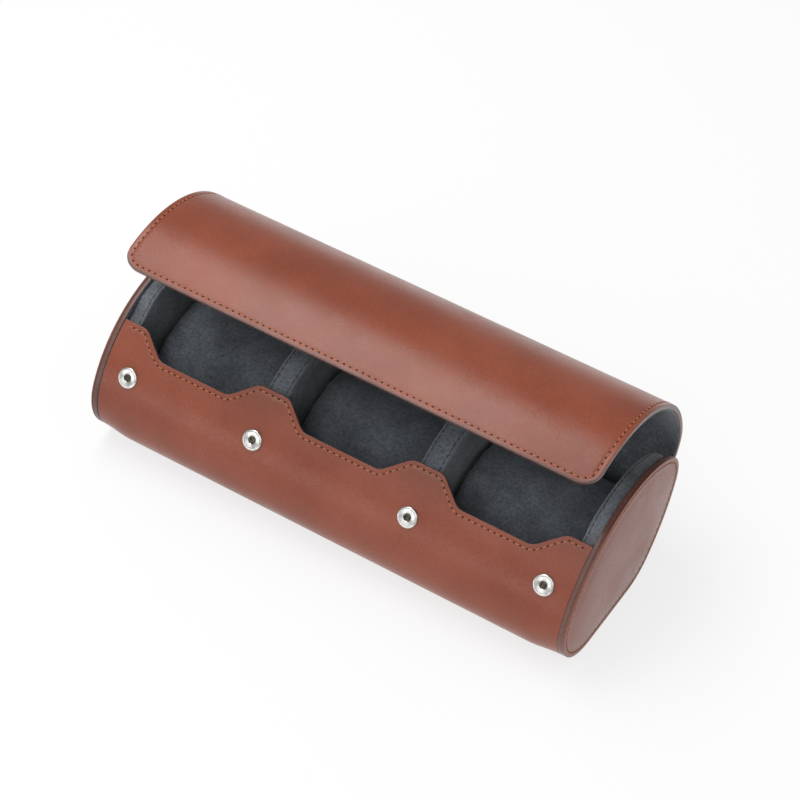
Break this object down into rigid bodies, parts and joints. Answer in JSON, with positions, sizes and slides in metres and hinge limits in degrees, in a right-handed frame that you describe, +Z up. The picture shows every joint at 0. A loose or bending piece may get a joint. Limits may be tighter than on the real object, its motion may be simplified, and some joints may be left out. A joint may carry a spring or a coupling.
{
  "type": "watch roll",
  "caption": "Oval leather watch roll with padded bays, lift-out cushions and a stiff snap-down flap hinged along the back.",
  "frame": {"origin": "on the floor in the middle of the roll's footprint as it stands with the flap part open", "axes": "+X along the roll, +Y to the hinged back, +Z up"},
  "size_m": [0.26, 0.1122, 0.113],
  "materials": {
    "leather": "smooth waxed",
    "suede": "napped microsuede",
    "board": "raw",
    "foam": "open cell",
    "nickel": "polished"
  },
  "bodies": {
    "case": {"outer_wrap": "leather", "left_end_cover": "leather", "right_end_cover": "leather", "left_end_backing": "leather", "right_end_backing": "leather", "hinge_leather": "leather", "wrap_board": "board", "left_inner_wall_board": "board", "right_inner_wall_board": "board", "left_divider_board": "board", "right_divider_board": "board", "wrap_lining": "suede", "left_inner_wall_cover": "suede", "right_inner_wall_cover": "suede", "left_divider_cover": "suede", "right_divider_cover": "suede", "left_end_padding": "foam", "right_end_padding": "foam", "snap_sockets": "nickel", "socket_eyelets": "nickel"},
    "flap": {"flap_leather": "leather", "flap_board": "board", "flap_lining": "suede", "snap_studs": "nickel", "stud_caps": "nickel"},
    "left_cushion": {"left_cushion_cover": "suede", "left_cushion_core": "foam"},
    "middle_cushion": {"middle_cushion_cover": "suede", "middle_cushion_core": "foam"},
    "right_cushion": {"right_cushion_cover": "suede", "right_cushion_core": "foam"}
  },
  "joints": [
    {"name": "flap_hinge", "type": "hinge", "parent": "case", "child": "flap", "pos_m": [0, 0.04687, 0.04405], "axis": [-1, 0, 0], "range_deg": [-38, 100], "deforming": ["hinge_leather"]},
    {"name": "left_cushion_lift", "type": "slide", "parent": "case", "child": "left_cushion", "axis": [0, 0, 1], "range_m": [0, 0.022]},
    {"name": "middle_cushion_lift", "type": "slide", "parent": "case", "child": "middle_cushion", "axis": [0, 0, 1], "range_m": [0, 0.022]},
    {"name": "right_cushion_lift", "type": "slide", "parent": "case", "child": "right_cushion", "axis": [0, 0, 1], "range_m": [0, 0.022]}
  ]
}
